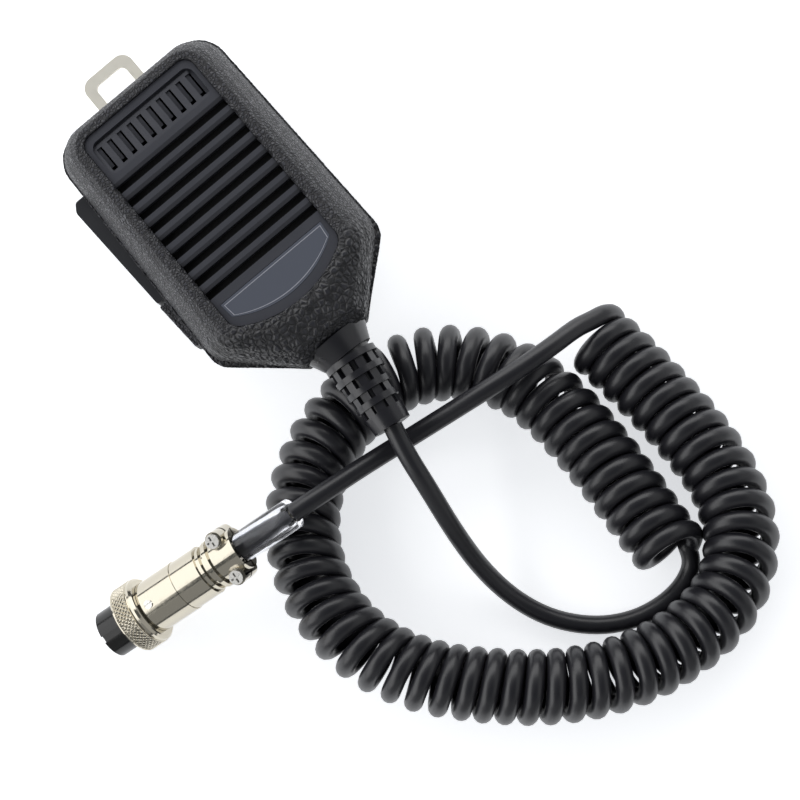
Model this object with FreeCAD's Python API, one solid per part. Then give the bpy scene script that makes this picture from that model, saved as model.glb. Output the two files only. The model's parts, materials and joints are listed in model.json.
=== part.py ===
import FreeCAD, Part
import math
import os

# Hand microphone lying on its back, with a curly cord and an eight-way screw plug.
# Millimetres. Row frame: +Z up from the table, +Y towards the handset's hanger end,
# +X to the handset's right seen from the front. The handset is modelled in its own
# frame (x right, y from the cord end to the hanger end, z out of the grille, z = 0 at
# the joint between the shells) and then laid down on the table.

V = FreeCAD.Vector

# ---------------------------------------------------------------- driving dimensions
HANDSET_X, HANDSET_Y, HANDSET_Z = 1.34, -35.98, 26.74   # handset origin in the row frame
TILT = 5.5                        # the strain relief rests on the cord, so the handset pitches

LENGTH = 87.0                     # shells, cord end to hanger end
WALL = 2.0
REAR_DEPTH = 16.0
CREST = 14.5                      # height of the front rim
PANEL_TOP = 13.6
PANEL_BASE = 10.8
FIT = 0.1                         # gap round inserted pieces

LOUVRES, LOUVRE_PITCH, LOUVRE_WIDTH, LOUVRE_FIRST = 9, 4.47, 2.25, 64.3
LOUVRE_HALF = 18.3
SLOTS, SLOT_PITCH, SLOT_WIDTH = 10, 3.26, 1.5
SLOT_LOW, SLOT_HIGH = 69.0, 76.2

LEVER_PIVOT = V(-22.9, 42.0, 0)
LEVER_BOTTOM, LEVER_TOP = -10.5, -1.4
PIN_R = 1.0
RUNNING = 0.05

KEY_X, KEY_Z = 7.5, -6.0          # up and down keys in the hanger end
KEY_SIZE = (9.0, 5.0)

STRAP_X, STRAP_W, STRAP_T, STRAP_END = -1.2, 15.6, 1.2, 100.3
STRAP_RIM = 2.9
NECK_Y = -4.4                     # where the ribbed part of the strain relief starts
RELIEF_ANGLE = 7.5                # it is pulled to one side by the cord
RELIEF_LENGTH = 21.4

CABLE_R = 2.55
COIL_R = 10.15

PLUG_X, PLUG_Y, PLUG_Z = -94.5, -56.0, 7.02    # centre of the insert's front face
PLUG_YAW, PLUG_PITCH = -6.0, 17.0
NUT_R, BARREL_R, BACK_R, INSERT_R, NECK_R = 9.45, 7.2, 7.0, 6.6, 5.6
NUT_START, NUT_END = 6.9, 14.1
BARREL_END, BACK_END, CLAMP_START, CLAMP_END = 25.5, 33.4, 37.4, 44.8
SLEEVE_END = 62.3
SLEEVE_R = 4.3

# Cord routes in the row frame, from the handset to the plug.
HANDSET_TAIL = [
    (-3.2, -67.8, 29.6),
    (-4.8, -79.5, 26.2),
    (-7.0, -93.0, 18.5),
    (-8.0, -106.0, 9.3),
    (-6.6, -118.0, 3.8),
    (-2.4, -128.7, 2.6),
    (5.0, -137.5, 2.6),
    (13.7, -142.9, 2.6),
    (22.5, -145.0, 2.6),
    (30.2, -144.6, 2.6),
    (36.4, -141.6, 3.0),
    (38.6, -134.8, 5.5),
]
COIL_AXIS = [
    (33.6, -137.0, COIL_R),
    (33.6, -128.5, COIL_R),
    (34.8, -113.5, COIL_R),
    (35.3, -98.3, COIL_R),
    (34.7, -83.5, COIL_R),
    (31.0, -70.0, COIL_R),
    (21.0, -57.6, COIL_R),
    (6.4, -50.6, COIL_R),
    (-9.6, -50.6, COIL_R),
    (-25.2, -56.0, COIL_R),
    (-38.0, -66.4, COIL_R),
    (-45.6, -81.4, COIL_R),
    (-46.4, -99.6, COIL_R),
    (-39.1, -116.8, COIL_R),
    (-26.5, -130.9, COIL_R),
    (-13.3, -142.5, COIL_R),
    (2.2, -151.2, COIL_R),
    (19.6, -155.4, COIL_R),
    (36.8, -154.3, COIL_R),
    (50.2, -145.2, COIL_R),
    (56.8, -130.0, COIL_R),
    (57.7, -113.6, COIL_R),
    (57.0, -98.5, COIL_R),
    (55.5, -84.0, COIL_R),
    (54.2, -74.8, COIL_R),
]
PLUG_TAIL = [
    (57.6, -77.0, 16.5),
    (51.5, -72.6, 20.0),
    (43.0, -72.2, 23.2),
    (32.0, -71.1, 24.6),
    (19.5, -69.4, 24.3),
    (9.0, -68.0, 21.6),
    (-3.0, -66.3, 19.9),
    (-16.0, -64.4, 22.8),
]


# ---------------------------------------------------------------- small tools
def box(x0, x1, y0, y1, z0, z1):
    return Part.makeBox(x1 - x0, y1 - y0, z1 - z0, V(x0, y0, z0))


def rod(radius, start, end):
    span = end - start
    return Part.makeCylinder(radius, span.Length, start, span)


def cone(r0, r1, start, end):
    span = end - start
    return Part.makeCone(r0, r1, span.Length, start, span)


def fuse(shapes):
    result = shapes[0]
    for shape in shapes[1:]:
        result = result.fuse(shape)
    return result.removeSplitter()


def rounded_wire(corners, z):
    """Closed wire through (x, y, radius) corners, each corner rounded."""
    count = len(corners)
    tangents = []
    for i, (x, y, radius) in enumerate(corners):
        here = V(x, y, z)
        before = V(*corners[i - 1][:2], z)
        after = V(*corners[(i + 1) % count][:2], z)
        back = (before - here).normalize()
        ahead = (after - here).normalize()
        half = back.getAngle(ahead) / 2
        reach = radius / math.tan(half)
        bisector = (back + ahead).normalize()
        middle = here + bisector * (radius / math.sin(half) - radius)
        tangents.append((here + back * reach, middle, here + ahead * reach))
    edges = []
    for i, (start, middle, end) in enumerate(tangents):
        edges.append(Part.Arc(start, middle, end).toShape())
        edges.append(Part.LineSegment(end, tangents[(i + 1) % count][0]).toShape())
    return Part.Wire(edges)


def plate(corners, z0, z1):
    face = Part.Face(rounded_wire(corners, z0))
    return face.extrude(V(0, 0, z1 - z0))


def mirrored(right_half):
    """Corners of a symmetric outline from its right half, listed top to bottom."""
    left_half = [(-x, y, radius) for x, y, radius in reversed(right_half)]
    return right_half + left_half


def loft(outlines):
    wires = [rounded_wire(corners, z) for corners, z in outlines]
    return Part.makeLoft(wires, True, True)


def cord_wire(points):
    """Straight runs joined by tangent arcs; prints every arc's radius."""
    route = [V(*p) for p in points]
    edges = []
    radii = []
    start = route[0]
    for before, here, after in zip(route, route[1:], route[2:]):
        back = before - here
        ahead = after - here
        turn = math.pi - back.getAngle(ahead)
        reach = 0.45 * min(back.Length, ahead.Length)
        radius = reach / math.tan(turn / 2)
        back.normalize()
        ahead.normalize()
        bisector = (back + ahead).normalize()
        middle = here + bisector * (radius / math.cos(turn / 2) - radius)
        arc_start = here + back * reach
        arc_end = here + ahead * reach
        edges.append(Part.LineSegment(start, arc_start).toShape())
        edges.append(Part.Arc(arc_start, middle, arc_end).toShape())
        radii.append(round(radius, 1))
        start = arc_end
    edges.append(Part.LineSegment(start, route[-1]).toShape())
    return Part.Wire(edges), radii


def cord_tube(name, points, radius):
    wire, radii = cord_wire(points)
    direction = V(*points[1]) - V(*points[0])
    profile = Part.Wire(Part.makeCircle(radius, V(*points[0]), direction))
    tube = wire.makePipeShell([profile], True, True)
    ideal = math.pi * radius ** 2 * wire.Length
    print(name, "length", round(wire.Length, 1), "volume ratio", round(tube.Volume / ideal, 4))
    print(name, "arc radii", radii)
    return tube


# ---------------------------------------------------------------- placements
def handset_placement():
    turn = FreeCAD.Rotation(V(1, 0, 0), -TILT)
    return FreeCAD.Placement(V(HANDSET_X, HANDSET_Y, HANDSET_Z), turn)


def plug_placement():
    yaw = FreeCAD.Rotation(V(0, 0, 1), PLUG_YAW)
    pitch = FreeCAD.Rotation(V(0, 1, 0), -PLUG_PITCH)
    return FreeCAD.Placement(V(PLUG_X, PLUG_Y, PLUG_Z), yaw.multiply(pitch))


def placed(shape, placement):
    moved = shape.copy()
    moved.Placement = placement.multiply(moved.Placement)
    return moved


# ---------------------------------------------------------------- shells
def mix(low, high, part):
    return low + (high - low) * part


def front_outline(side, end, inset=0.0):
    """Outline between the joint (0) and the crest (1), side walls and neck separately."""
    corner = (mix(25.6, 20.4, side) - inset, mix(86.6, 82.4, side) - inset, mix(8.8, 6.5, side))
    shoulder = (mix(27.3, 20.9, side) - inset, mix(16.8, 16.0, side) + inset / 3, mix(7.5, 7.0, side))
    neck = (mix(10.2, 8.5, side) - inset / 2, mix(0.0, 10.4, end) + inset, mix(1.2, 5.0, end))
    return mirrored([corner, shoulder, neck])


def rear_outline(part, end, inset=0.0):
    """A little larger than the front at the joint, so that a ledge shows all round."""
    corner = (mix(26.1, 20.5, part) - inset, mix(LENGTH, 81.5, part) - inset, mix(9.0, 6.0, part))
    shoulder = (mix(27.9, 21.5, part) - inset, mix(15.2, 19.0, part) + inset / 3, mix(6.5, 7.0, part))
    neck = (mix(10.2, 8.0, part) - inset / 2, mix(0.0, 9.0, end) + inset, mix(1.2, 5.0, end))
    return mirrored([corner, shoulder, neck])


PANEL_HALF, PANEL_HIGH, PANEL_SIDE_LOW, PANEL_LOW = 17.7, 80.0, 20.6, 12.9


def panel_face(grow, z):
    """Flat grille outline: square top with rounded corners, curved lower edge."""
    half = PANEL_HALF + grow
    high = PANEL_HIGH + grow
    corner = 3.2
    slope = 1 / math.sqrt(2)
    top_right = V(half - corner + corner * slope, high - corner + corner * slope, z)
    top_left = V(-top_right.x, top_right.y, z)
    side_low = PANEL_SIDE_LOW
    turn_x, turn_y = half - 2.6, 16.9 - grow
    points = [V(-half, side_low, z), V(-half, high - corner, z), V(-half + corner, high, z),
              V(half - corner, high, z), V(half, high - corner, z), V(half, side_low, z),
              V(turn_x, turn_y, z), V(-turn_x, turn_y, z)]
    edges = [
        Part.LineSegment(points[0], points[1]),
        Part.Arc(points[1], top_left, points[2]),
        Part.LineSegment(points[2], points[3]),
        Part.Arc(points[3], top_right, points[4]),
        Part.LineSegment(points[4], points[5]),
        Part.Arc(points[5], V(half - 0.75, turn_y + 1.5, z), points[6]),
        Part.Arc(points[6], V(0, PANEL_LOW - grow, z), points[7]),
        Part.Arc(points[7], V(-half + 0.75, turn_y + 1.5, z), points[0]),
    ]
    return Part.Face(Part.Wire([edge.toShape() for edge in edges]))


def panel_solid(grow, z0, z1):
    return panel_face(grow, z0).extrude(V(0, 0, z1 - z0))


def louvre_cuts(z0, z1):
    cuts = []
    for k in range(LOUVRES):
        y = LOUVRE_FIRST - k * LOUVRE_PITCH
        half = LOUVRE_WIDTH / 2
        cuts.append(box(-LOUVRE_HALF, LOUVRE_HALF, y - half, y + half, z0, z1))
    return Part.makeCompound(cuts)


CASE_SCREWS = [V(19.2, 75.5, 0), V(-19.2, 75.5, 0), V(20.6, 25.0, 0), V(-20.6, 25.0, 0)]


def front_shell():
    outer = loft([(front_outline(0, 0), 0), (front_outline(0.26, 0), 6.5),
                  (front_outline(0.66, 0.3), 12), (front_outline(1, 1), CREST)])
    inner = loft([(front_outline(0, 0, WALL), -0.5), (front_outline(0.26, 0.05, WALL), 6.5),
                  (front_outline(0.62, 0.5, WALL), 12.2)])
    bosses = [rod(3.0, at, at + V(0, 0, 11)) for at in CASE_SCREWS]
    bosses.append(rod(2.3, LEVER_PIVOT, LEVER_PIVOT + V(0, 0, 8)))
    bosses = Part.makeCompound(bosses).common(outer)
    shell = outer.cut(inner).fuse(bosses)
    shell = shell.cut(panel_solid(FIT, PANEL_BASE, CREST + 1))
    shell = shell.cut(panel_solid(1.2 + FIT, PANEL_BASE - 0.2, 12.2))
    shell = shell.cut(louvre_cuts(12.9, CREST + 1))
    holes = [rod(1.1, at, at + V(0, 0, 8)) for at in CASE_SCREWS]
    holes.append(rod(PIN_R, LEVER_PIVOT, LEVER_PIVOT + V(0, 0, 2)))
    shell = shell.cut(Part.makeCompound(holes))
    return shell.cut(relief_envelope())


LEVER_SLOT = (37.8, 73.4)


def rear_shell():
    floor = -REAR_DEPTH
    outer = loft([(rear_outline(0, 0), 0), (rear_outline(0.25, 0.05), -10.5),
                  (rear_outline(0.55, 0.45), -14.2), (rear_outline(1, 1), floor)])
    inner = loft([(rear_outline(0, 0, WALL), 0.5), (rear_outline(0.25, 0.1, WALL), -10.5),
                  (rear_outline(0.5, 0.5, WALL), floor + WALL)])
    supports = [rod(3.2, at + V(0, 0, floor), at) for at in CASE_SCREWS]
    supports.append(rod(2.6, LEVER_PIVOT + V(0, 0, floor), LEVER_PIVOT + V(0, 0, LEVER_BOTTOM - 0.2)))
    supports += [rod(2.2, V(x, y, floor), V(x, y, BOARD_LOW)) for x, y in BOARD_POSTS]
    supports.append(box(-8.6, 8.6, 7.5, 12.5, floor, -CABLE_R))
    supports.append(box(-18.8, -17.6, 50.5, 55.0, floor, -5.0))
    supports = Part.makeCompound(supports).common(outer)
    shell = outer.cut(inner).fuse(supports)
    guard = plate([(-26.0, 37.4, 0.4), (-29.5, 37.4, 0.4), (-28.8, 23.2, 0.5), (-26.0, 23.0, 0.4)],
                  LEVER_BOTTOM - 0.5, -1.0)
    shell = shell.fuse(guard)
    cuts = [box(-32, -21.8, LEVER_SLOT[0], LEVER_SLOT[1], LEVER_BOTTOM - 0.4, LEVER_TOP + 0.6)]
    for at in CASE_SCREWS:
        cuts.append(rod(1.45, at + V(0, 0, floor - 1), at + V(0, 0, 1)))
        cuts.append(rod(2.9, at + V(0, 0, floor - 1), at + V(0, 0, floor + 3)))
    cuts.append(rod(PIN_R, LEVER_PIVOT + V(0, 0, -13.5), LEVER_PIVOT + V(0, 0, -10)))
    cuts += [rod(1.0, V(x, y, -10), V(x, y, 0)) for x, y in BOARD_POSTS]
    cuts += [rod(STRAP_SCREW_R, V(x, y, floor - 1), V(x, y, floor + WALL + 1)) for x, y in STRAP_SCREWS]
    cuts += [rod(1.0, V(x, CLAMP_Y, -12), V(x, CLAMP_Y, 0)) for x in (-CLAMP_X, CLAMP_X)]
    for x in (-KEY_X, KEY_X):
        half_w, half_h = KEY_SIZE[0] / 2 + 0.2, KEY_SIZE[1] / 2 + 0.2
        wide, tall = half_w + 1, half_h + 0.7
        cuts.append(box(x - half_w, x + half_w, 83.5, 90, KEY_Z - half_h, KEY_Z + half_h))
        cuts.append(box(x - wide, x + wide, 80, 84.2, KEY_Z - tall, KEY_Z + tall))
    shell = shell.cut(Part.makeCompound(cuts))
    return shell.cut(relief_envelope())


# ---------------------------------------------------------------- grille
FIELD_HALF, FIELD_LOW, FIELD_HIGH, FIELD_DEPTH = 16.4, 68.1, 77.9, 0.9


def slot_field():
    """A round-cornered recess that deepens towards the hanger end, with a sharp top step."""
    low, high, top = FIELD_LOW, FIELD_HIGH, PANEL_TOP
    side = [V(-20, low, top), V(-20, high, top - FIELD_DEPTH), V(-20, high, top + 1), V(-20, low, top + 1)]
    wedge = Part.Face(Part.makePolygon(side + side[:1])).extrude(V(40, 0, 0))
    outline = plate(mirrored([(FIELD_HALF, high, 2.4), (FIELD_HALF, low, 1.6)]), top - 3, top + 1)
    step = box(-FIELD_HALF, FIELD_HALF, high - 0.75, high, top - 1.7, top + 1)
    right_end = box(FIELD_HALF - 1.1, FIELD_HALF, low + 0.8, high, top - 1.5, top + 1)
    return fuse([wedge, step, right_end]).common(outline)


def slots():
    """Each slot is shallow, open along its right side and at its lower end."""
    cuts = []
    for k in range(SLOTS):
        x = (k - (SLOTS - 1) / 2) * SLOT_PITCH
        left, right = x - SLOT_WIDTH / 2, x + SLOT_WIDTH / 2
        cuts.append(box(left, right, SLOT_LOW, SLOT_HIGH, PANEL_TOP - 1.3, PANEL_TOP + 1))
        cuts.append(box(right - 0.5, right, SLOT_LOW, SLOT_HIGH, PANEL_BASE - 1, PANEL_TOP))
        cuts.append(box(left, right, SLOT_LOW, SLOT_LOW + 1.2, PANEL_BASE - 1, PANEL_TOP))
    return Part.makeCompound(cuts)


def rib_slopes():
    """Each rib falls away towards the cord end."""
    slopes = []
    for k in range(LOUVRES):
        y = LOUVRE_FIRST - k * LOUVRE_PITCH + LOUVRE_WIDTH / 2
        side = [V(-PANEL_HALF, y, PANEL_TOP - 0.75), V(-PANEL_HALF, y + 0.85, PANEL_TOP + 0.01),
                V(-PANEL_HALF, y, PANEL_TOP + 0.01)]
        slopes.append(Part.Face(Part.makePolygon(side + side[:1])).extrude(V(2 * PANEL_HALF, 0, 0)))
    return Part.makeCompound(slopes)


def label_outline(shrink, z0, z1):
    half, top = 16.6 - shrink, 24.9 - shrink
    points = [V(-half, top, z0), V(half, top, z0), V(half - 0.4, 20.6, z0), V(-half + 0.4, 20.6, z0)]
    edges = [Part.LineSegment(points[0], points[1]), Part.LineSegment(points[1], points[2]),
             Part.Arc(points[2], V(0, 15.5 + shrink, z0), points[3]),
             Part.LineSegment(points[3], points[0])]
    face = Part.Face(Part.Wire([edge.toShape() for edge in edges]))
    return face.extrude(V(0, 0, z1 - z0))


def grille_panel():
    flange = panel_solid(1.2, PANEL_BASE, 12.1)
    panel = panel_solid(0, PANEL_BASE, PANEL_TOP).fuse(flange)
    panel = panel.cut(slot_field()).cut(slots()).cut(rib_slopes())
    panel = panel.cut(louvre_cuts(PANEL_BASE - 1, CREST + 1))
    return panel.cut(label_outline(0, PANEL_TOP - 0.5, CREST + 1))


def label_plate():
    return label_outline(0.12, PANEL_TOP - 0.5, PANEL_TOP - 0.05)


def dust_screen():
    return plate(mirrored([(17.6, 67.5, 1.0), (17.6, 25.5, 1.0)]), 10.2, 10.7)


# ---------------------------------------------------------------- talk lever
def talk_lever():
    bar = plate([(-25.2, 38.4, 0.4), (-29.35, 38.4, 0.5), (-30.55, 70.6, 2.2), (-29.0, 72.9, 1.2),
                 (-25.2, 72.9, 0.4)], LEVER_BOTTOM, LEVER_TOP)
    knuckle = rod(2.2, LEVER_PIVOT + V(0, 0, LEVER_BOTTOM), LEVER_PIVOT + V(0, 0, LEVER_TOP))
    web = box(-25.6, LEVER_PIVOT.x, 40.6, 43.4, LEVER_BOTTOM, LEVER_TOP)
    lever = fuse([bar, web, knuckle])
    bore = rod(PIN_R + RUNNING, LEVER_PIVOT + V(0, 0, LEVER_BOTTOM - 1), LEVER_PIVOT + V(0, 0, 0))
    return lever.cut(bore)


def lever_spring():
    """Leaf spring on the lever's inner face, drawn relaxed, just clear of the rib it bears on."""
    foot = box(-25.2, -24.8, 44.6, 47.6, -9.0, -5.0)
    leaf = plate([(-25.1, 47.0, 0.1), (-20.6, 53.6, 0.1), (-20.2, 53.4, 0.1), (-24.6, 46.2, 0.1)], -9.0, -5.0)
    return fuse([foot, leaf])


def lever_pin():
    return rod(PIN_R, LEVER_PIVOT + V(0, 0, -13.5), LEVER_PIVOT + V(0, 0, 2.0))


SWITCH_Y = 62.0


def talk_switch():
    body = box(-21.8, -15.4, SWITCH_Y - 6.3, SWITCH_Y + 6.3, -8.6, BOARD_LOW)
    bore = box(-22.5, -19.6, SWITCH_Y - 1.5, SWITCH_Y + 1.5, -6.8, -4.4)
    return body.cut(bore)


def switch_plunger():
    return box(-25.05, -21.6, SWITCH_Y - 1.4, SWITCH_Y + 1.4, -6.7, -4.5)


# ---------------------------------------------------------------- board and capsule
BOARD_LOW, BOARD_HIGH = -2.2, -0.6
BOARD_POSTS = [(-12.0, 32.0), (12.0, 32.0), (12.0, 68.0)]
CAPSULE_Y = 46.0


def circuit_board():
    board = box(-17.5, 17.5, 28.5, 71.5, BOARD_LOW, BOARD_HIGH)
    tab = box(-22.0, -17.0, 55.0, 69.0, BOARD_LOW, BOARD_HIGH)
    board = board.fuse(tab).removeSplitter()
    holes = [rod(1.1, V(x, y, -3), V(x, y, 0)) for x, y in BOARD_POSTS]
    return board.cut(Part.makeCompound(holes))


def board_parts():
    """Chip, electrolytics, trimmer and lead header on the board's front face."""
    top = BOARD_HIGH
    pieces = [box(6, 14, 54, 60, top, top + 1.8), box(-14, -10, 58, 64, top, top + 3.0),
              box(-9, 9, 30, 33, top, top + 4.0)]
    pieces += [rod(2.5, V(x, 38.0, top), V(x, 38.0, top + 5.5)) for x in (-13.0, 13.0)]
    pieces += [box(x, x + 1.6, 62, 65.2, top, top + 0.9) for x in (-6, -2, 2)]
    return Part.makeCompound(pieces)


def board_screws():
    return Part.makeCompound([
        fuse([rod(1.0, V(x, y, -8), V(x, y, BOARD_HIGH)), rod(1.9, V(x, y, BOARD_HIGH), V(x, y, 0.6))])
        for x, y in BOARD_POSTS])


def capsule_boot():
    boot = rod(7.2, V(0, CAPSULE_Y, BOARD_HIGH), V(0, CAPSULE_Y, 9.4))
    return boot.cut(rod(4.85, V(0, CAPSULE_Y, 3.0), V(0, CAPSULE_Y, 10)))


def capsule():
    return rod(4.85, V(0, CAPSULE_Y, 3.0), V(0, CAPSULE_Y, 9.9))


# ---------------------------------------------------------------- keys in the hanger end
def key_button(x):
    w, h = KEY_SIZE[0] / 2, KEY_SIZE[1] / 2
    cap = plate([(x + w, 87.6, 0.8), (x + w, 84.0, 0.2), (x - w, 84.0, 0.2), (x - w, 87.6, 0.8)],
                KEY_Z - h, KEY_Z + h)
    flange = box(x - w - 0.9, x + w + 0.9, 82.3, 84.0, KEY_Z - h - 0.6, KEY_Z + h + 0.6)
    return fuse([cap, flange])


def key_switch(x):
    body = box(x - 3, x + 3, 76.0, 79.6, KEY_Z - 3, KEY_Z + 3)
    return body.cut(rod(1.85, V(x, 76.4, KEY_Z), V(x, 80, KEY_Z)))


def key_stem(x):
    return rod(1.75, V(x, 77.4, KEY_Z), V(x, 82.3, KEY_Z))


def key_board():
    return box(-12.5, 12.5, 74.4, 76.0, -13.9, -1.2)


# ---------------------------------------------------------------- fasteners and hanger
def case_screws():
    floor = -REAR_DEPTH
    return Part.makeCompound([
        fuse([rod(1.1, at + V(0, 0, floor + 3.0), at + V(0, 0, 7)),
              rod(2.4, at + V(0, 0, floor + 1.4), at + V(0, 0, floor + 3.0))])
        .cut(box(at.x - 2, at.x + 2, at.y - 0.3, at.y + 0.3, floor, floor + 2.0))
        .cut(box(at.x - 0.3, at.x + 0.3, at.y - 2, at.y + 2, floor, floor + 2.0))
        for at in CASE_SCREWS])


STRAP_SCREWS = [(STRAP_X, 50.0), (STRAP_X, 68.0)]
SINK_R, STRAP_SCREW_R = 2.5, 1.3


def strap_screw(x, y):
    """Countersunk, flush with the strap's back."""
    back, front = -REAR_DEPTH - STRAP_T, -REAR_DEPTH
    head = cone(SINK_R, STRAP_SCREW_R, V(x, y, back), V(x, y, front))
    return fuse([head, rod(STRAP_SCREW_R, V(x, y, front - 0.1), V(x, y, front + WALL + 0.8))])


def hanger_strap():
    half = STRAP_W / 2
    z0, z1 = -REAR_DEPTH - STRAP_T, -REAR_DEPTH
    inner = half - STRAP_RIM
    strap = plate(mirrored([(half, STRAP_END, 3.4), (half, 44.0, 2.5)]), z0, z1)
    window = plate(mirrored([(inner, STRAP_END - STRAP_RIM, 1.7), (inner, 84.5, 1.7)]), z0 - 1, z1 + 1)
    strap = strap.cut(window)
    strap.translate(V(STRAP_X, 0, 0))
    return strap.cut(Part.makeCompound([strap_screw(x, y) for x, y in STRAP_SCREWS]))


def hanger_screws():
    under = -REAR_DEPTH - STRAP_T
    screws = []
    for x, y in STRAP_SCREWS:
        screw = strap_screw(x, y)
        for across, along in ((1.6, 0.3), (0.3, 1.6)):
            screw = screw.cut(box(x - across, x + across, y - along, y + along, under - 1, under + 0.6))
        screws.append(screw)
    return Part.makeCompound(screws)


# ---------------------------------------------------------------- strain relief
def relief_axis(s):
    angle = math.radians(RELIEF_ANGLE)
    return V(-s * math.sin(angle), NECK_Y - s * math.cos(angle), 0)


RELIEF_RINGS = [(0.5, 7.25), (4.9, 6.9), (9.1, 6.4), (13.1, 6.0)]
RING_T = 1.7
COLLAR = (17.0, 5.6, 5.2)


def relief_envelope():
    """The moulded root of the strain relief, which the shells clamp."""
    root = cone(9.7, 7.2, V(0, 1.0, 0), V(0, NECK_Y, 0))
    flange = rod(8.2, V(0, 1.0, 0), V(0, 5.5, 0))
    return root.fuse(flange)


def strain_relief():
    parts = [relief_envelope(), rod(6.2, V(0, NECK_Y + 0.6, 0), relief_axis(0.7))]
    parts.append(cone(5.3, 4.3, relief_axis(0), relief_axis(RELIEF_LENGTH - 2)))
    for k, (s, radius) in enumerate(RELIEF_RINGS):
        parts.append(rod(radius, relief_axis(s), relief_axis(s + RING_T)))
        following = RELIEF_RINGS[k + 1][0] if k + 1 < len(RELIEF_RINGS) else COLLAR[0]
        parts += relief_ribs(s + RING_T, following, radius - 0.75, k)
    parts.append(cone(COLLAR[1], COLLAR[2], relief_axis(COLLAR[0]), relief_axis(RELIEF_LENGTH)))
    body = parts[0]
    for part in parts[1:]:
        body = body.fuse(part)
    return body.cut(cable_core(CABLE_R + RUNNING))


def relief_ribs(start, end, radius, row):
    """Short keys between two rings, turned half a step from one row to the next."""
    count = 10
    axis = relief_axis(1) - relief_axis(0)
    ribs = []
    for k in range(count):
        angle = 360 / count * (k + 0.5 * (row % 2))
        rib = Part.makeBox(end - start + 0.2, radius - 4.0, 2.3, V(0, 4.0, -1.15))
        rib.rotate(V(0, 0, 0), V(1, 0, 0), angle)
        turn = FreeCAD.Rotation(V(1, 0, 0), axis)
        ribs.append(placed(rib, FreeCAD.Placement(relief_axis(start - 0.1), turn)))
    return ribs


def cable_core(radius):
    inside = rod(radius, V(0, 18.0, 0), V(0, NECK_Y, 0))
    outside = rod(radius, relief_axis(0), relief_axis(RELIEF_LENGTH))
    knee = Part.makeSphere(radius, relief_axis(0))
    return fuse([inside, knee, outside])


CLAMP_X, CLAMP_Y = 6.2, 10.0


def cable_clamp():
    bar = box(-8.4, 8.4, 7.8, 12.2, CABLE_R, CABLE_R + 1.4)
    feet = [box(x - 2.1, x + 2.1, 7.8, 12.2, -CABLE_R, CABLE_R) for x in (-CLAMP_X, CLAMP_X)]
    bar = fuse([bar] + feet)
    holes = [rod(1.1, V(x, CLAMP_Y, -4), V(x, CLAMP_Y, 6)) for x in (-CLAMP_X, CLAMP_X)]
    return bar.cut(Part.makeCompound(holes))


def clamp_screws():
    top = CABLE_R + 1.4
    screws = []
    for x in (-CLAMP_X, CLAMP_X):
        shank = rod(1.0, V(x, CLAMP_Y, -10), V(x, CLAMP_Y, top))
        head = rod(1.9, V(x, CLAMP_Y, top), V(x, CLAMP_Y, top + 1.2))
        screws.append(fuse([shank, head]))
    return Part.makeCompound(screws)


# ---------------------------------------------------------------- plug, along its own +X
def ring(r_out, r_in, x0, x1):
    return rod(r_out, V(x0, 0, 0), V(x1, 0, 0)).cut(rod(r_in, V(x0 - 1, 0, 0), V(x1 + 1, 0, 0)))


def chamfered_ring(r_out, r_in, x0, x1, chamfer):
    body = fuse([cone(r_out - chamfer, r_out, V(x0, 0, 0), V(x0 + chamfer, 0, 0)),
                 rod(r_out, V(x0 + chamfer, 0, 0), V(x1 - chamfer, 0, 0)),
                 cone(r_out, r_out - chamfer, V(x1 - chamfer, 0, 0), V(x1, 0, 0))])
    return body.cut(rod(r_in, V(x0 - 1, 0, 0), V(x1 + 1, 0, 0)))


def contact_angles():
    return [math.radians(360 / 7 * k) for k in range(7)]


def contact_places():
    places = [(0.0, 0.0)]
    places += [(4.1 * math.cos(a), 4.1 * math.sin(a)) for a in contact_angles()]
    return places


BARREL_FRONT = 7.5
CORE_R = 5.6
CORE_END = 19.0


def contact_insert():
    front = rod(INSERT_R, V(0, 0, 0), V(BARREL_FRONT, 0, 0))
    tail = rod(CORE_R, V(BARREL_FRONT, 0, 0), V(CORE_END, 0, 0))
    insert = fuse([front, tail])
    keyway = box(-1, 6, -0.9, 0.9, INSERT_R - 0.9, INSERT_R + 1)
    side_key = box(-1, 6, INSERT_R - 0.6, INSERT_R + 1, -0.6, 0.6)
    holes = [rod(0.75, V(-1, y, z), V(14, y, z)) for y, z in contact_places()]
    return insert.cut(keyway).cut(side_key).cut(Part.makeCompound(holes))


def contacts():
    pins = []
    for y, z in contact_places():
        tube = rod(0.75, V(1.0, y, z), V(14, y, z)).cut(rod(0.45, V(0, y, z), V(8, y, z)))
        pins.append(tube)
    return Part.makeCompound(pins)


GUIDE_R = 6.9


def plug_barrel():
    """Barrel with a thinner front guide for the nut and the lip that keeps it on."""
    guide = rod(GUIDE_R, V(BARREL_FRONT, 0, 0), V(NUT_END + FIT, 0, 0))
    lip = rod(GUIDE_R + 0.6, V(BARREL_FRONT, 0, 0), V(BARREL_FRONT + 0.5, 0, 0))
    main = rod(BARREL_R, V(NUT_END + FIT, 0, 0), V(BARREL_END, 0, 0))
    barrel = fuse([guide, lip, main])
    bore = [rod(CORE_R, V(BARREL_FRONT - 1, 0, 0), V(CORE_END, 0, 0)),
            rod(5.2, V(CORE_END - 1, 0, 0), V(BARREL_END + 1, 0, 0))]
    bore.append(rod(1.2, SET_SCREW_FROM, SET_SCREW_TO))
    return barrel.cut(Part.makeCompound(bore))


SET_SCREW_ANGLE = math.radians(100)
SET_SCREW_X = 16.8
SET_OUT = V(0, -math.cos(SET_SCREW_ANGLE), math.sin(SET_SCREW_ANGLE))
SET_SCREW_FROM = V(SET_SCREW_X, 0, 0) + SET_OUT * 5.6
SET_SCREW_TO = V(SET_SCREW_X, 0, 0) + SET_OUT * 9.0


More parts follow.
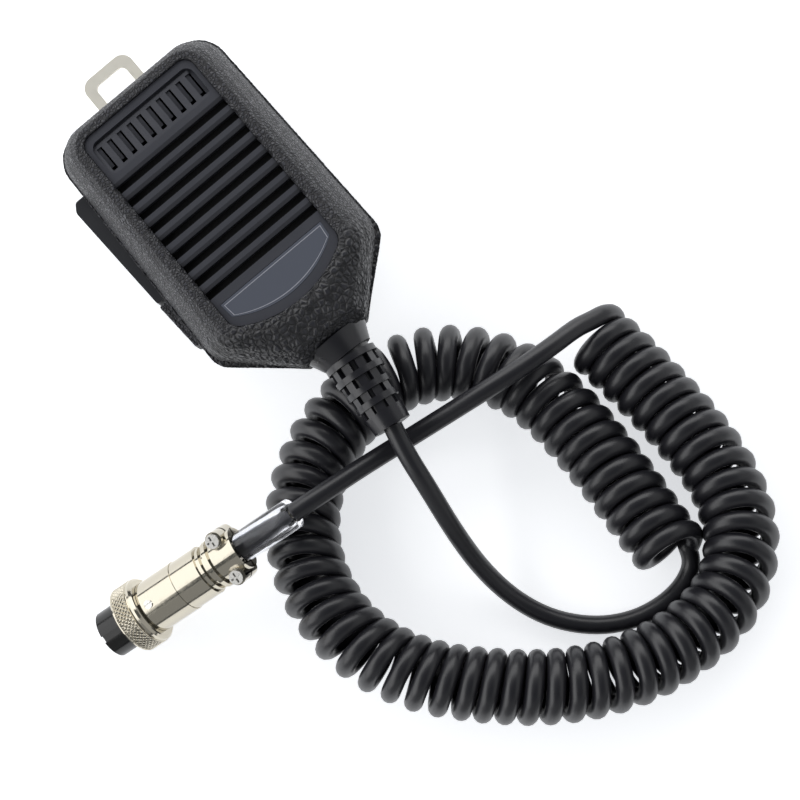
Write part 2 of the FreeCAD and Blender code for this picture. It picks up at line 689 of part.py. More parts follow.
def set_screw():
    screw = rod(1.2, SET_SCREW_FROM, V(SET_SCREW_X, 0, 0) + SET_OUT * (BARREL_R + 0.35))
    groove = box(SET_SCREW_X - 2, SET_SCREW_X + 2, -0.25, 0.25, BARREL_R - 0.1, BARREL_R + 2)
    groove.rotate(V(0, 0, 0), V(1, 0, 0), math.degrees(math.atan2(-SET_OUT.y, SET_OUT.z)))
    return screw.cut(groove)


def plug_back():
    """Rear shell and neck, with the fixed half of the cable clamp."""
    back = rod(BACK_R, V(BARREL_END, 0, 0), V(BACK_END, 0, 0))
    neck = rod(NECK_R, V(BACK_END, 0, 0), V(CLAMP_START, 0, 0))
    collar = rod(6.4, V(BACK_END, 0, 0), V(BACK_END + 1.3, 0, 0))
    flange = rod(6.9, V(CLAMP_START - 1.2, 0, 0), V(CLAMP_START, 0, 0))
    saddle = clamp_half(-1)
    body = fuse([back, neck, collar, flange, saddle])
    return body.cut(rod(SLEEVE_R, V(BARREL_END + 3, 0, 0), V(CLAMP_END + 1, 0, 0))) \
        .cut(rod(5.2, V(BARREL_END - 1, 0, 0), V(BARREL_END + 3, 0, 0)))


CLAMP_EAR = 5.6


def clamp_half(side):
    """Half ring with two ears; side is +1 above the cable and -1 below it."""
    x0, x1 = CLAMP_START, CLAMP_END
    shell = rod(6.0, V(x0, 0, 0), V(x1, 0, 0))
    middle = (x0 + x1) / 2
    ears = [rod(2.3, V(middle, y, 0), V(middle, y, side * 5.0)) for y in (-CLAMP_EAR, CLAMP_EAR)]
    half = fuse([shell] + ears)
    low, high = (0.4, 9) if side > 0 else (-9, -0.4)
    return half.common(box(x0, x1, -9, 9, low, high))


def clamp_saddle():
    middle = (CLAMP_START + CLAMP_END) / 2
    saddle = clamp_half(1).cut(rod(SLEEVE_R, V(CLAMP_START - 1, 0, 0), V(CLAMP_END + 1, 0, 0)))
    holes = [rod(1.15, V(middle, y, 0), V(middle, y, 6)) for y in (-CLAMP_EAR, CLAMP_EAR)]
    return saddle.cut(Part.makeCompound(holes))


def saddle_screws():
    middle = (CLAMP_START + CLAMP_END) / 2
    screws = []
    for y in (-CLAMP_EAR, CLAMP_EAR):
        shank = rod(1.0, V(middle, y, -4.5), V(middle, y, 5.0))
        screw = fuse([shank, rod(1.9, V(middle, y, 5.0), V(middle, y, 6.2))])
        for across, along in ((1.4, 0.25), (0.25, 1.4)):
            screw = screw.cut(box(middle - across, middle + across, y - along, y + along, 5.6, 7))
        screws.append(screw)
    return Part.makeCompound(screws)


def saddle_screw_holes():
    middle = (CLAMP_START + CLAMP_END) / 2
    holes = [rod(1.0, V(middle, y, -4.5), V(middle, y, 1)) for y in (-CLAMP_EAR, CLAMP_EAR)]
    return Part.makeCompound(holes)


CLIP_X, CLIP_T, CLIP_R = 11.45, 0.9, 8.5
NUT_INNER = 8.1


def nut_clip():
    """Sprung ring in the nut's groove: it slides on the guide and the nut turns on it."""
    clip = ring(CLIP_R, GUIDE_R + RUNNING, CLIP_X, CLIP_X + CLIP_T)
    return clip.cut(box(CLIP_X - 1, CLIP_X + 2, -1.0, 1.0, -10, 0))


def coupling_nut():
    nut = chamfered_ring(NUT_R, GUIDE_R + 0.15, NUT_START, NUT_END, 0.6)
    thread = rod(NUT_INNER, V(NUT_START - 1, 0, 0), V(CLIP_X, 0, 0))
    groove = rod(CLIP_R + 0.1, V(CLIP_X - 0.1, 0, 0), V(CLIP_X + CLIP_T + 0.1, 0, 0))
    return nut.cut(thread).cut(groove)


def clear_sleeve():
    return ring(SLEEVE_R, SLEEVE_R - 0.35, BARREL_END + 3.5, SLEEVE_END)


def plug_point(s):
    return plug_placement().multVec(V(s, 0, 0))


CORD_END_S = 30.0
BEND_S = 64.8


# ---------------------------------------------------------------- assembly
def cord_parts():
    start = handset_placement().multVec(relief_axis(RELIEF_LENGTH))
    bend = plug_point(BEND_S)
    end = plug_point(CORD_END_S)
    return {
        "cord_handset_tail": cord_tube("handset tail", [tuple(start)] + HANDSET_TAIL, CABLE_R),
        "cord_coil": cord_tube("coil", COIL_AXIS, COIL_R),
        "cord_plug_tail": cord_tube("plug tail", PLUG_TAIL + [tuple(bend), tuple(end)], CABLE_R),
    }


def handset_parts():
    return {
        "front_shell": front_shell(),
        "rear_shell": rear_shell(),
        "grille_panel": grille_panel(),
        "label_plate": label_plate(),
        "dust_screen": dust_screen(),
        "talk_lever": talk_lever(),
        "lever_spring": lever_spring(),
        "lever_pin": lever_pin(),
        "talk_switch": talk_switch(),
        "switch_plunger": switch_plunger(),
        "circuit_board": circuit_board(),
        "board_parts": board_parts(),
        "board_screws": board_screws(),
        "capsule_boot": capsule_boot(),
        "mic_capsule": capsule(),
        "up_button": key_button(KEY_X),
        "down_button": key_button(-KEY_X),
        "up_switch": key_switch(KEY_X),
        "down_switch": key_switch(-KEY_X),
        "up_stem": key_stem(KEY_X),
        "down_stem": key_stem(-KEY_X),
        "key_board": key_board(),
        "case_screws": case_screws(),
        "hanger_strap": hanger_strap(),
        "hanger_screws": hanger_screws(),
        "strain_relief": strain_relief(),
        "cable_core": cable_core(CABLE_R),
        "cable_clamp": cable_clamp(),
        "clamp_screws": clamp_screws(),
    }


def plug_parts():
    return {
        "contact_insert": contact_insert(),
        "contacts": contacts(),
        "plug_barrel": plug_barrel(),
        "set_screw": set_screw(),
        "plug_back": plug_back().cut(saddle_screw_holes()),
        "clamp_saddle": clamp_saddle(),
        "saddle_screws": saddle_screws(),
        "nut_clip": nut_clip(),
        "coupling_nut": coupling_nut(),
        "clear_sleeve": clear_sleeve(),
    }


def main():
    os.makedirs("parts", exist_ok=True)
    nodes = {name: placed(shape, handset_placement()) for name, shape in handset_parts().items()}
    own = Part.makeCompound(list(nodes.values())).BoundBox
    print("handset box x", round(own.XMin, 3), round(own.XMax, 3), "y", round(own.YMin, 3),
          round(own.YMax, 3), "z", round(own.ZMin, 3), round(own.ZMax, 3))
    nodes.update({name: placed(shape, plug_placement()) for name, shape in plug_parts().items()})
    nodes.update(cord_parts())
    for name, shape in nodes.items():
        shape.exportStep("parts/" + name + ".step")
        print(name, "valid", shape.isValid(), "solids", len(shape.Solids), "volume", round(shape.Volume, 1))


main()
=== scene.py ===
import json
import math

import bpy
from mathutils import Euler, Matrix, Vector, noise


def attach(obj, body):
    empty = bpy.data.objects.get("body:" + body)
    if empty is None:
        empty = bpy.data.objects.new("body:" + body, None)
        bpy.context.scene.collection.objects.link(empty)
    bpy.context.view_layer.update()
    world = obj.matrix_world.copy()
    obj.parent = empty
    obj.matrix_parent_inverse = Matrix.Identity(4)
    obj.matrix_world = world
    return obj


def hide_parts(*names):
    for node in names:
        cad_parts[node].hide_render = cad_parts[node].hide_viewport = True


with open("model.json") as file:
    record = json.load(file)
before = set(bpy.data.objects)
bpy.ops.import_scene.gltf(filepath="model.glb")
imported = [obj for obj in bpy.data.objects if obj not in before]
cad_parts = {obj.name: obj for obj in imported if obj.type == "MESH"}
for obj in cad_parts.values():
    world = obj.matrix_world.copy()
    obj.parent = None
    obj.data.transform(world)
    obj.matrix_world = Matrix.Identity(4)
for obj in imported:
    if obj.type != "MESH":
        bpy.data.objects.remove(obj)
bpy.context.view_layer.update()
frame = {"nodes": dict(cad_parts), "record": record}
NODES = frame["nodes"]
MM = 0.001

# ---------------------------------------------------------------- sizes, in millimetres
HANDSET_AT = Vector((1.34, -35.98, 26.74))
HANDSET_TILT = math.radians(-5.5)
PLUG_AT = Vector((-94.5, -56.0, 7.02))
PLUG_YAW = math.radians(-6.0)
PLUG_PITCH = math.radians(-17.0)
RELIEF_END = (-2.793, -25.617, 0.0)     # in the handset's frame

CABLE = 5.1
COIL_MEAN_R = 7.6
COIL_Z = 10.15
TURNS = 64
POINTS_PER_TURN = 12
FIRST_ANGLE = math.radians(-55)
LAST_ANGLE = math.radians(75)
BEND_EASE = 0.5                          # how far turns close up on the inside of a bend
LEAN = 0.55                              # how far the turns' tops lean over
LEAN_TOWARDS = Vector((0.643, 0.766, 0.0))
COIL_FIRST, COIL_SHARE = 0.006, 0.988    # the turns' start and length, as shares of the axis
SIZE_WOBBLE, SIZE_WOBBLE_RATE = 0.012, 0.05
SLIP_WOBBLE, SLIP_WOBBLE_RATE = 0.35, 0.04
UP = Vector((0, 0, 1))

HANDSET_TAIL = [
    (-3.2, -67.8, 29.6),
    (-4.8, -79.5, 26.2),
    (-7.0, -93.0, 18.5),
    (-8.0, -106.0, 9.3),
    (-6.6, -118.0, 3.8),
    (-2.4, -128.7, 2.6),
    (5.0, -137.5, 2.6),
    (13.7, -142.9, 2.6),
    (22.5, -145.0, 2.6),
    (30.2, -144.6, 2.6),
    (36.4, -141.6, 3.0),
    (38.6, -134.8, 5.5),
]
COIL_AXIS = [
    (33.6, -137.0),
    (33.6, -128.5),
    (34.8, -113.5),
    (35.3, -98.3),
    (34.7, -83.5),
    (31.0, -70.0),
    (21.0, -57.6),
    (6.4, -50.6),
    (-9.6, -50.6),
    (-25.2, -56.0),
    (-38.0, -66.4),
    (-45.6, -81.4),
    (-46.4, -99.6),
    (-39.1, -116.8),
    (-26.5, -130.9),
    (-13.3, -142.5),
    (2.2, -151.2),
    (19.6, -155.4),
    (36.8, -154.3),
    (50.2, -145.2),
    (56.8, -130.0),
    (57.7, -113.6),
    (57.0, -98.5),
    (55.5, -84.0),
    (54.2, -74.8),
]
PLUG_TAIL = [
    (57.6, -77.0, 16.5),
    (51.5, -72.6, 20.0),
    (43.0, -72.2, 23.2),
    (32.0, -71.1, 24.6),
    (19.5, -69.4, 24.3),
    (9.0, -68.0, 21.6),
    (-3.0, -66.3, 19.9),
    (-16.0, -64.4, 22.8),
]
SLEEVE_STATIONS = (64.8, 54.0, 30.0)     # along the plug, in the clear sleeve and the clamp

HANDSET = Matrix.Translation(HANDSET_AT) @ Euler((HANDSET_TILT, 0, 0)).to_matrix().to_4x4()
PLUG = (Matrix.Translation(PLUG_AT) @ Matrix.Rotation(PLUG_YAW, 4, "Z")
        @ Matrix.Rotation(PLUG_PITCH, 4, "Y"))


# ---------------------------------------------------------------- small tools
SHARP_ANGLE = math.radians(35)               # edges sharper than this are rounded


def link(obj):
    bpy.context.scene.collection.objects.link(obj)
    return obj


def copy_of(node, name):
    """A new piece with the CAD node's mesh."""
    mesh = NODES[node].data.copy()
    mesh.name = name
    piece = link(bpy.data.objects.new(name, mesh))
    piece.matrix_world = NODES[node].matrix_world.copy()
    return piece


def apply_modifiers(obj):
    bpy.context.view_layer.update()
    graph = bpy.context.evaluated_depsgraph_get()
    mesh = bpy.data.meshes.new_from_object(obj.evaluated_get(graph), depsgraph=graph)
    obj.modifiers.clear()
    obj.data = mesh


def remesh(obj, size_mm):
    step = obj.modifiers.new("remesh", "REMESH")
    step.mode = "VOXEL"
    step.voxel_size = size_mm * MM
    step.use_smooth_shade = True
    apply_modifiers(obj)


def bevel(obj, width_mm):
    step = obj.modifiers.new("bevel", "BEVEL")
    step.width = width_mm * MM
    step.segments = 2
    step.limit_method = "ANGLE"
    step.angle_limit = SHARP_ANGLE
    step.harden_normals = True
    step.use_clamp_overlap = True


def smooth_step(low, high, value):
    t = min(1.0, max(0.0, (value - low) / (high - low)))
    return t * t * (3 - 2 * t)


# ---------------------------------------------------------------- materials
def material(name, color, roughness, metallic=0.0, **sockets):
    mat = bpy.data.materials.new(name)
    mat.use_nodes = True
    shader = mat.node_tree.nodes["Principled BSDF"]
    shader.inputs["Base Color"].default_value = (*color, 1.0)
    shader.inputs["Roughness"].default_value = roughness
    shader.inputs["Metallic"].default_value = metallic
    for socket, value in sockets.items():
        shader.inputs[socket.replace("_", " ")].default_value = value
    return mat


def texture(mat, kind, scale, **settings):
    """A procedural texture on object coordinates, in cycles per metre."""
    tree = mat.node_tree
    coordinates = tree.nodes.new("ShaderNodeTexCoord")
    node = tree.nodes.new("ShaderNodeTex" + kind)
    node.inputs["Scale"].default_value = scale
    for socket, value in settings.items():
        node.inputs[socket].default_value = value
    tree.links.new(coordinates.outputs["Object"], node.inputs["Vector"])
    return node


def ramp(mat, source, low, high, out_low, out_high):
    tree = mat.node_tree
    node = tree.nodes.new("ShaderNodeMapRange")
    node.inputs["From Min"].default_value = low
    node.inputs["From Max"].default_value = high
    node.inputs["To Min"].default_value = out_low
    node.inputs["To Max"].default_value = out_high
    tree.links.new(source, node.inputs["Value"])
    return node.outputs["Result"]


def add_bump(mat, height, depth_mm, strength=1.0):
    tree = mat.node_tree
    node = tree.nodes.new("ShaderNodeBump")
    node.inputs["Distance"].default_value = depth_mm * MM
    node.inputs["Strength"].default_value = strength
    tree.links.new(height, node.inputs["Height"])
    tree.links.new(node.outputs["Normal"], tree.nodes["Principled BSDF"].inputs["Normal"])


def vary_roughness(mat, source, low, high, rough_low, rough_high):
    value = ramp(mat, source, low, high, rough_low, rough_high)
    mat.node_tree.links.new(value, mat.node_tree.nodes["Principled BSDF"].inputs["Roughness"])


def cloudy_roughness(mat, scale, detail, rough_low, rough_high):
    """Roughness that drifts between two values, as handling and moulding leave it."""
    clouds = texture(mat, "Noise", scale, Detail=detail)
    vary_roughness(mat, clouds.outputs["Fac"], 0.3, 0.7, rough_low, rough_high)


def blend(mat, factor, low, high):
    tree = mat.node_tree
    node = tree.nodes.new("ShaderNodeMix")
    tree.links.new(factor, node.inputs["Factor"])
    tree.links.new(low, node.inputs["A"])
    tree.links.new(high, node.inputs["B"])
    return node.outputs["Result"]


PEBBLE_EDGE = 0.3                            # the valleys' width, as a share of a pebble
FINE_PEBBLES, COARSE_PEBBLES = 1150, 620     # per metre
SLOPE_FROM, SLOPE_TO = -0.018, -0.012        # the grain changes between these, in metres
# Painted shade and light on the leather grain: dark in the pebbles' valleys, lighter on their crests.
VALLEY_SHADE_COLOR = (0.005, 0.005, 0.007, 1.0)
CREST_LIT_COLOR = (0.060, 0.061, 0.073, 1.0)


def pebbles(mat, scale):
    cells = texture(mat, "Voronoi", scale)
    cells.feature = "DISTANCE_TO_EDGE"
    return ramp(mat, cells.outputs["Distance"], 0.0, PEBBLE_EDGE, 0.0, 1.0)


def cord_end_slope(mat):
    """1 on the slope at the cord's end of the handset, and 0 on the rest."""
    tree = mat.node_tree
    coordinates = tree.nodes.new("ShaderNodeTexCoord")
    split = tree.nodes.new("ShaderNodeSeparateXYZ")
    tree.links.new(coordinates.outputs["Object"], split.inputs["Vector"])
    return ramp(mat, split.outputs["Y"], SLOPE_FROM, SLOPE_TO, 1.0, 0.0)


def leather_material():
    """Fine grain all over, and coarse crinkled grain on the slope at the cord's end; the colour is painted
    shade, darker in the grain's valleys and lighter on its crests, and darker on the coarse slope.
    """
    mat = material("case_leather", (0.018, 0.018, 0.022), 0.4, Specular_IOR_Level=0.65)
    tree = mat.node_tree
    slope = cord_end_slope(mat)
    fine = pebbles(mat, FINE_PEBBLES)
    coarse = pebbles(mat, COARSE_PEBBLES)
    grain = blend(mat, slope, fine, coarse)
    add_bump(mat, grain, 0.26)
    vary_roughness(mat, grain, 0.0, 1.0, 0.6, 0.3)
    # Painted shade: the colour follows the grain, darker in the valleys, and the coarse slope is darker
    # overall.
    fine_tone = ramp(mat, fine, 0.2, 1.0, 0.1, 1.0)
    coarse_tone = ramp(mat, coarse, 0.2, 1.0, 0.0, 0.5)
    tone = blend(mat, slope, fine_tone, coarse_tone)
    # This ramp paints shade into the grain's valleys and light onto its crests.
    painted_grain_shade = tree.nodes.new("ShaderNodeValToRGB")
    painted_grain_shade.color_ramp.elements[0].color = VALLEY_SHADE_COLOR
    painted_grain_shade.color_ramp.elements[1].color = CREST_LIT_COLOR
    tree.links.new(tone, painted_grain_shade.inputs["Fac"])
    tree.links.new(painted_grain_shade.outputs["Color"], tree.nodes["Principled BSDF"].inputs["Base Color"])
    return mat


def fine_plastic(name, color, low, high, grain_mm=0.02):
    mat = material(name, color, low)
    grain = texture(mat, "Noise", 3500, Detail=2.0)
    add_bump(mat, grain.outputs["Fac"], grain_mm, 0.7)
    cloudy_roughness(mat, 120, 3.0, low, high)
    return mat


def metal(name, color, low, high):
    mat = material(name, color, low, 1.0)
    cloudy_roughness(mat, 600, 4.0, low, high)
    return mat


def satin_plate():
    """Thick satin plating, with enough scatter to look pale lying flat."""
    mat = material("strap_plate", (0.84, 0.81, 0.72), 0.45, 0.35)
    cloudy_roughness(mat, 500, 4.0, 0.4, 0.55)
    return mat


def cord_material(name, low, high):
    """Black rubber, for the cord's jacket and for the strain relief."""
    mat = material(name, (0.013, 0.013, 0.017), low, Specular_IOR_Level=0.7)
    cloudy_roughness(mat, 250, 3.0, low, high)
    return mat


def sleeve_material():
    mat = material("clear_sleeve", (0.88, 0.89, 0.93), 0.1, Transmission_Weight=1.0, IOR=1.3)
    ripple = texture(mat, "Noise", 350, Detail=2.0)
    add_bump(mat, ripple.outputs["Fac"], 0.15, 0.5)
    return mat


def board_material():
    mat = material("solder_mask", (0.01, 0.09, 0.035), 0.35)
    tracks = texture(mat, "Voronoi", 350)
    add_bump(mat, tracks.outputs["Distance"], 0.03, 0.5)
    return mat


def cloth_material():
    mat = material("dust_cloth", (0.004, 0.004, 0.004), 0.95)
    weave = texture(mat, "Noise", 2500, Detail=1.0)
    add_bump(mat, weave.outputs["Fac"], 0.05)
    return mat


MATERIALS = {
    "case": leather_material(),
    "panel": fine_plastic("panel_plastic", (0.058, 0.060, 0.072), 0.3, 0.38),
    "label": fine_plastic("label_gloss", (0.110, 0.120, 0.150), 0.14, 0.22, 0.003),
    "cloth": cloth_material(),
    "lever": fine_plastic("lever_plastic", (0.026, 0.027, 0.032), 0.38, 0.5),
    "steel": metal("zinc_steel", (0.66, 0.65, 0.62), 0.2, 0.34),
    "nickel": metal("nickel_plate", (0.57, 0.53, 0.44), 0.08, 0.15),
    "strap": satin_plate(),
    "rubber": cord_material("relief_rubber", 0.26, 0.34),
    "cord": cord_material("cord_jacket", 0.33, 0.39),
    "board": board_material(),
    "parts": fine_plastic("parts_plastic", (0.02, 0.02, 0.022), 0.4, 0.5),
    "capsule": metal("capsule_aluminium", (0.8, 0.8, 0.8), 0.3, 0.4),
    "switch": fine_plastic("switch_plastic", (0.03, 0.03, 0.035), 0.35, 0.45),
    "insert": fine_plastic("insert_plastic", (0.005, 0.005, 0.005), 0.12, 0.2, 0.004),
    "gold": metal("gold_plate", (0.9, 0.68, 0.3), 0.15, 0.25),
    "sleeve": sleeve_material(),
}


def paint(obj, slot):
    obj.data.materials.clear()
    obj.data.materials.append(MATERIALS[slot])


def paint_nodes():
    """Each CAD node gets its record's material; the strap's steel has its own pale plating."""
    for part in frame["record"]["subparts"]:
        paint(NODES[part["node"]], part["material_slot"])
    paint(NODES["hanger_strap"], "strap")


# ---------------------------------------------------------------- the cord
def nurbs(name, points, resolution):
    curve = bpy.data.curves.new(name, "CURVE")
    curve.dimensions = "3D"
    curve.resolution_u = resolution
    spline = curve.splines.new("NURBS")
    spline.points.add(len(points) - 1)
    for slot_point, place in zip(spline.points, points):
        slot_point.co = (*(Vector(place) * MM), 1.0)
    spline.order_u = 3
    spline.use_endpoint_u = True
    return curve


def curve_line(points):
    """Close-set points along the smooth line that a list of control points makes."""
    probe = link(bpy.data.objects.new("probe", nurbs("probe", points, 40)))
    bpy.context.view_layer.update()
    graph = bpy.context.evaluated_depsgraph_get()
    mesh = bpy.data.meshes.new_from_object(probe.evaluated_get(graph))
    line = [v.co / MM for v in mesh.vertices]
    bpy.data.objects.remove(probe)
    return line


def line_tangents(runs):
    sums = [runs[0]] + [a + b for a, b in zip(runs, runs[1:])] + [runs[-1]]
    return [direction.normalized() for direction in sums]


def turn_weights(runs, tangents):
    """Each run's share of the turns: its length, less in a bend, where the turns spread."""
    weights = []
    for k, run in enumerate(runs):
        bend = abs(tangents[k + 1].cross(tangents[k]).z) / run.length
        weights.append(run.length * (1 - BEND_EASE * COIL_MEAN_R * bend))
    return weights


def helix_radius():
    """The control points' radius, for the smooth line runs a little inside them."""
    return COIL_MEAN_R / (0.75 + 0.25 * math.cos(math.tau / POINTS_PER_TURN))


def helix_point(centre, tangent, angle, step):
    """One control point, with a little unevenness in the turns' size and spacing."""
    side = tangent.cross(UP)
    size = helix_radius() * (1 + SIZE_WOBBLE * noise.noise(Vector((step * SIZE_WOBBLE_RATE, 0.3, 0.7))))
    slip = SLIP_WOBBLE * noise.noise(Vector((0.2, step * SLIP_WOBBLE_RATE, 0.9)))
    slip += LEAN * tangent.dot(LEAN_TOWARDS) * size * math.sin(angle)
    return centre + size * (math.cos(angle) * side + math.sin(angle) * UP) + tangent * slip


def helix_points():
    """The curly stretch: a left-handed helix round the coil's axis."""
    line = curve_line([(x, y, COIL_Z) for x, y in COIL_AXIS])
    runs = [b - a for a, b in zip(line, line[1:])]
    tangents = line_tangents(runs)
    weights = turn_weights(runs, tangents)
    total = sum(weights)
    sweep = TURNS * math.tau + LAST_ANGLE - FIRST_ANGLE
    steps = round(sweep / math.tau * POINTS_PER_TURN)
    points = []
    k, passed = 0, 0.0
    for step in range(steps + 1):
        target = total * (COIL_FIRST + COIL_SHARE * step / steps)
        while k < len(weights) - 1 and passed + weights[k] < target:
            passed += weights[k]
            k += 1
        part = (target - passed) / weights[k]
        centre = line[k].lerp(line[k + 1], part)
        tangent = tangents[k].lerp(tangents[k + 1], part).normalized()
        angle = FIRST_ANGLE + sweep * step / steps
        points.append(helix_point(centre, tangent, angle, step))
    return points


def line_length(line):
    return sum((b - a).length for a, b in zip(line, line[1:]))


def make_cord(nut, sleeve):
    """One cord from the relief to the plug; the plug tail's first point lies in the last turn."""
    start = HANDSET @ Vector(RELIEF_END)
    plug_end = [PLUG @ Vector((s, 0, 0)) for s in SLEEVE_STATIONS]
    route = [start] + HANDSET_TAIL + helix_points() + PLUG_TAIL[1:] + plug_end
    curve = nurbs("curly_cord", route, 5)
    curve.bevel_depth = CABLE / 2 * MM
    curve.bevel_resolution = 5
    curve.use_fill_caps = True
    piece = link(bpy.data.objects.new("curly_cord", curve))
    paint(piece, "cord")
    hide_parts("cord_handset_tail", "cord_coil", "cord_plug_tail")
    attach(piece, "handset")
    length = line_length(curve_line(route))


# ---------------------------------------------------------------- the case
CASE_VOXEL = 0.33
CASE_MIDDLE_Y = 45.0
COARSE_DENSITY, COARSE_DEPTH = 0.6, 0.2       # pebbles per millimetre, and their depth
FINE_DENSITY, FINE_DEPTH = 1.0, 0.09
UNEVENNESS = 0.02
SLOPE_Y = 22.0                                # coarse grain below this, towards the cord
CREST_EDGE = 12.2                             # the rim starts here, above the joint
JOINT_GROOVE, JOINT_HALF = 0.28, 0.42
BARE_HALF, BARE_LOW, BARE_HIGH = 17.9, 21.0, 78.4    # the field round the grille, without grain
BARE_FADE = 0.5


def pebble(place, density):
    """1 on a pebble's top, falling to 0 in the valleys between pebbles."""
    warp = Vector(place) + 0.35 * noise.noise_vector(Vector(place) * 0.8)
    distances = noise.voronoi(warp * density)[0]
    return smooth_step(0.02, 0.42, distances[1] - distances[0])


def inside_case(place, normal):
    """True for the case's inner faces, which stay smooth."""
    outward = Vector((place.x, place.y - CASE_MIDDLE_Y, place.z * 2))
    return normal.dot(outward) <= 0 and place.z < CREST_EDGE


def grain_case(obj, front):
    """Moulded leather grain on the outside, and a groove where the shells meet."""
    to_handset = HANDSET.inverted()
    turn = to_handset.to_3x3()
    mesh = obj.data
    normals = [v.normal.copy() for v in mesh.vertices]
    for vertex, normal in zip(mesh.vertices, normals):
        place = to_handset @ (vertex.co / MM)
        facing = turn @ normal
        if inside_case(place, facing):
            continue
        lift = case_relief(place, facing, front)
        vertex.co += normal * lift * MM


def beyond_bare_field(place):
    """0 in the bare field, rising to 1 a short way outside it."""
    past_x = abs(place.x) - BARE_HALF
    past_y = max(place.y - BARE_HIGH, BARE_LOW - place.y)
    return smooth_step(0.0, BARE_FADE, max(past_x, past_y))


def case_relief(place, facing, front):
    """How far the case's skin stands out here, in millimetres."""
    groove = 1 - smooth_step(0.0, JOINT_HALF, abs(place.z))
    flat_rim = facing.z > 0.8
    coarse = front and place.y < SLOPE_Y and not flat_rim
    density, depth = (COARSE_DENSITY, COARSE_DEPTH) if coarse else (FINE_DENSITY, FINE_DEPTH)
    bumps = (pebble(place, density) - 0.6) * depth
    if front:
        bumps *= beyond_bare_field(place)
    uneven = UNEVENNESS * noise.noise(place * 3.0)
    return (bumps + uneven) * (1 - groove) - groove * JOINT_GROOVE


def make_case():
    for node, front in (("front_shell", True), ("rear_shell", False)):
        piece = copy_of(node, node + "_moulded")
        remesh(piece, CASE_VOXEL)
        grain_case(piece, front)
        paint(piece, "case")
        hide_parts(node)
        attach(piece, "handset")


# ---------------------------------------------------------------- crisp CAD parts
EDGE_ROUNDING = {
    "grille_panel": 0.16,
    "label_plate": 0.1,
    "talk_lever": 0.35,
    "hanger_strap": 0.2,
    "strain_relief": 0.28,
    "plug_barrel": 0.15,
    "plug_back": 0.2,
    "clamp_saddle": 0.25,
    "contact_insert": 0.15,
    "saddle_screws": 0.12,
    "hanger_screws": 0.15,
    "up_button": 0.3,
    "down_button": 0.3,
    "case_screws": 0.15,
}


def round_cad_edges():
    for node, width in EDGE_ROUNDING.items():
        bevel(NODES[node], width)


# ---------------------------------------------------------------- turned parts of the plug
# Stations are distances along the plug's axis.
NUT_R, NUT_START, NUT_END, NUT_BORE, NUT_BACK_BORE = 9.45, 6.9, 14.1, 8.1, 7.05
CLIP_FROM, CLIP_TO, CLIP_R = 11.35, 12.45, 8.6
KNURL_FROM, KNURL_TO, KNURL_COUNT, KNURL_DEPTH = 7.7, 12.1, 46, 0.34
KNURL_STEPS, KNURL_SIDES = 44, 8             # stations along the knurl, faces to a groove
KNURL_SHARPNESS, KNURL_FADE, KNURL_LEAST = 1.6, 0.3, 0.02
THREAD_PITCH, THREAD_DEPTH, THREAD_STEPS = 1.0, 0.25, 4
NUT_LEAD = 0.15


def knurl_nut():
    """The ring nut with a diamond knurl pressed into its rim."""
    piece = lathe("coupling_nut_knurled", nut_profile(), KNURL_COUNT * KNURL_SIDES)
    paint(piece, "nickel")
    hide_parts("coupling_nut")
    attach(piece, "nut")
    return piece


def nut_profile():
    """(station, radius, knurled) round the nut's section, from the front bore over the rim and back."""
    front = [(0.0, 0.75), (0.12, 0.5), (0.4, 0.15), (0.7, 0.1)]
    rim = [(NUT_START + s, NUT_R - r, False) for s, r in front]
    length = KNURL_TO - KNURL_FROM
    knurl = [(KNURL_FROM + length * k / KNURL_STEPS, NUT_R, True) for k in range(KNURL_STEPS + 1)]
    back = [(0.12, 0.35), (0.3, 0.45), (0.5, 0.25), (1.2, 0.25), (1.8, 0.8), (2.0, 1.1)]
    shoulder = [(KNURL_TO + s, NUT_R - r, False) for s, r in back]
    inside = [(NUT_END, NUT_BACK_BORE + NUT_LEAD, False), (NUT_END - NUT_LEAD, NUT_BACK_BORE, False),
              (CLIP_TO, NUT_BACK_BORE, False), (CLIP_TO, CLIP_R, False),
              (CLIP_FROM, CLIP_R, False), (CLIP_FROM, NUT_BORE, False)]
    return rim + knurl + shoulder + inside + thread_profile()


def thread_profile():
    """The nut's thread as plain rings, from the clip's groove to the front."""
    stride = THREAD_PITCH / THREAD_STEPS
    count = int((CLIP_FROM - NUT_START) / stride)
    return [(CLIP_FROM - (k + 1) * stride, NUT_BORE - THREAD_DEPTH * (k % 2), False) for k in range(count)]


def lathe(name, profile, around):
    """A closed ring round the plug's axis; knurled stations are pressed in."""
    loops = []
    for station, radius, knurled in profile:
        loop = []
        for j in range(around):
            angle = math.tau * j / around
            r = radius - knurl_dip(station, angle) if knurled else radius
            loop.append(PLUG @ Vector((station, r * math.cos(angle), r * math.sin(angle))))
        loops.append(loop)
    return ring_piece(name, loops)


def ring_piece(name, loops):
    """A piece whose skin joins each loop of points to the next, and the last to the first."""
    around = len(loops[0])
    count = len(loops)
    vertices = [point * MM for loop in loops for point in loop]
    faces = []
    for i in range(count):
        for j in range(around):
            a, b = i * around + j, i * around + (j + 1) % around
            c, d = ((i + 1) % count) * around + (j + 1) % around, ((i + 1) % count) * around + j
            faces.append((a, b, c, d))
    mesh = bpy.data.meshes.new(name)
    mesh.from_pydata(vertices, [], faces)
    mesh.update()
    return link(bpy.data.objects.new(name, mesh))


